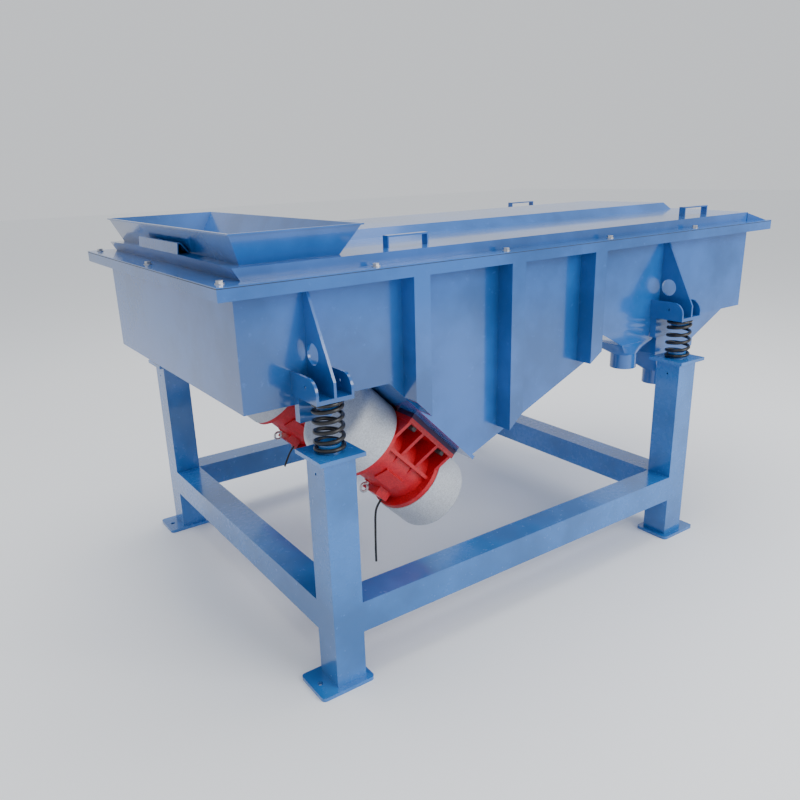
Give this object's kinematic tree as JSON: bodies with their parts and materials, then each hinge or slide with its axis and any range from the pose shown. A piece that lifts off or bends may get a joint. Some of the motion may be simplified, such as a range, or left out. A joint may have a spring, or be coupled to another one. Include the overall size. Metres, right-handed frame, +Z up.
{
  "type": "vibrating sieve",
  "caption": "Linear vibrating sieve: a covered screen box on coil springs over a welded stand, shaken by slanted vibration motors, with a feed hopper and bottom spouts.",
  "frame": {"origin": "on the floor under the middle of the screen box's rim", "axes": "+X from the feed end to the discharge end, +Z up, -Y towards the side with the two spouts"},
  "size_m": [2.434, 1.465, 1.335],
  "materials": {
    "blue_enamel": "gloss",
    "motor_red_enamel": "semi-gloss over casting",
    "cap_grey_paint": "satin",
    "black_spring_steel": "satin",
    "zinc_steel": "zinc plated",
    "black_bolt_steel": "black oxide",
    "gasket_rubber": "matt",
    "ball_rubber": "matt",
    "screen_wire": "woven wire",
    "rotor_steel": "machined",
    "weight_iron": "as cast",
    "gland_plastic": "satin",
    "lead_sheath": "satin",
    "packing_paint": "satin"
  },
  "bodies": {
    "base_frame": {"leg_feed_near": "blue_enamel", "leg_feed_far": "blue_enamel", "leg_discharge_near": "blue_enamel", "leg_discharge_far": "blue_enamel", "long_beam_near": "blue_enamel", "long_beam_far": "blue_enamel", "cross_beam_feed": "blue_enamel", "cross_beam_discharge": "blue_enamel", "foot_plates": "blue_enamel", "leg_top_plates": "blue_enamel", "lower_spring_seats": "blue_enamel", "coil_springs": "black_spring_steel"},
    "screen_box": {"side_plate_near": "blue_enamel", "side_plate_far": "blue_enamel", "feed_end_wall": "blue_enamel", "discharge_end_wall": "blue_enamel", "bottom_pan": "blue_enamel", "rim_tubes": "blue_enamel", "side_stiffeners": "blue_enamel", "motor_mount_plate": "blue_enamel", "motor_beam_sides": "blue_enamel", "motor_beam_rear_plate": "blue_enamel", "bracket_base_plates": "blue_enamel", "bracket_gussets": "blue_enamel", "bracket_ears": "blue_enamel", "bracket_pads": "blue_enamel", "upper_spring_seats": "blue_enamel", "cover": "blue_enamel", "raised_panel": "blue_enamel", "cover_handles": "blue_enamel", "feed_hopper": "blue_enamel", "feed_end_channel": "blue_enamel", "deck_rails": "blue_enamel", "ball_tray": "blue_enamel", "screen_frame": "blue_enamel", "discharge_partition": "blue_enamel", "undersize_hopper": "blue_enamel", "oversize_hopper": "blue_enamel", "outlet_spouts": "blue_enamel", "cover_gasket": "gasket_rubber", "cover_bolts": "zinc_steel", "eye_bolts": "zinc_steel", "rubber_balls": "ball_rubber", "screen_mesh": "screen_wire", "motor_housing_near": "motor_red_enamel", "motor_housing_far": "motor_red_enamel", "terminal_covers": "motor_red_enamel", "motor_end_caps_near": "cap_grey_paint", "motor_end_caps_far": "cap_grey_paint", "motor_stators": "rotor_steel", "motor_bearings": "rotor_steel", "motor_foot_bolts": "black_bolt_steel", "motor_packing_strips": "packing_paint", "cable_glands": "gland_plastic", "motor_lead_near": "lead_sheath", "motor_lead_far": "lead_sheath"},
    "rotor_near": {"rotor_near": "rotor_steel", "eccentric_weights_near": "weight_iron"},
    "rotor_far": {"rotor_far": "rotor_steel", "eccentric_weights_far": "weight_iron"}
  },
  "joints": [
    {"name": "box_vibration", "type": "slide", "parent": "base_frame", "child": "screen_box", "axis": [0.7071, 0, 0.7071], "range_m": [-0.006, 0.006], "stiffness_N_per_m": 400000, "springref_m": 0.01793, "deforming": ["coil_springs"]},
    {"name": "rotor_near_spin", "type": "hinge", "parent": "screen_box", "child": "rotor_near", "pos_m": [-0.54787, -0.3325, 0.52281], "axis": [0.7071, 0, -0.7071], "continuous": true},
    {"name": "rotor_far_spin", "type": "hinge", "parent": "screen_box", "child": "rotor_far", "pos_m": [-0.54787, 0.3325, 0.52281], "axis": [0.7071, 0, -0.7071], "continuous": true}
  ],
  "couplings": [
    {"joint": "rotor_far_spin", "follows": "rotor_near_spin", "ratio": -1}
  ]
}
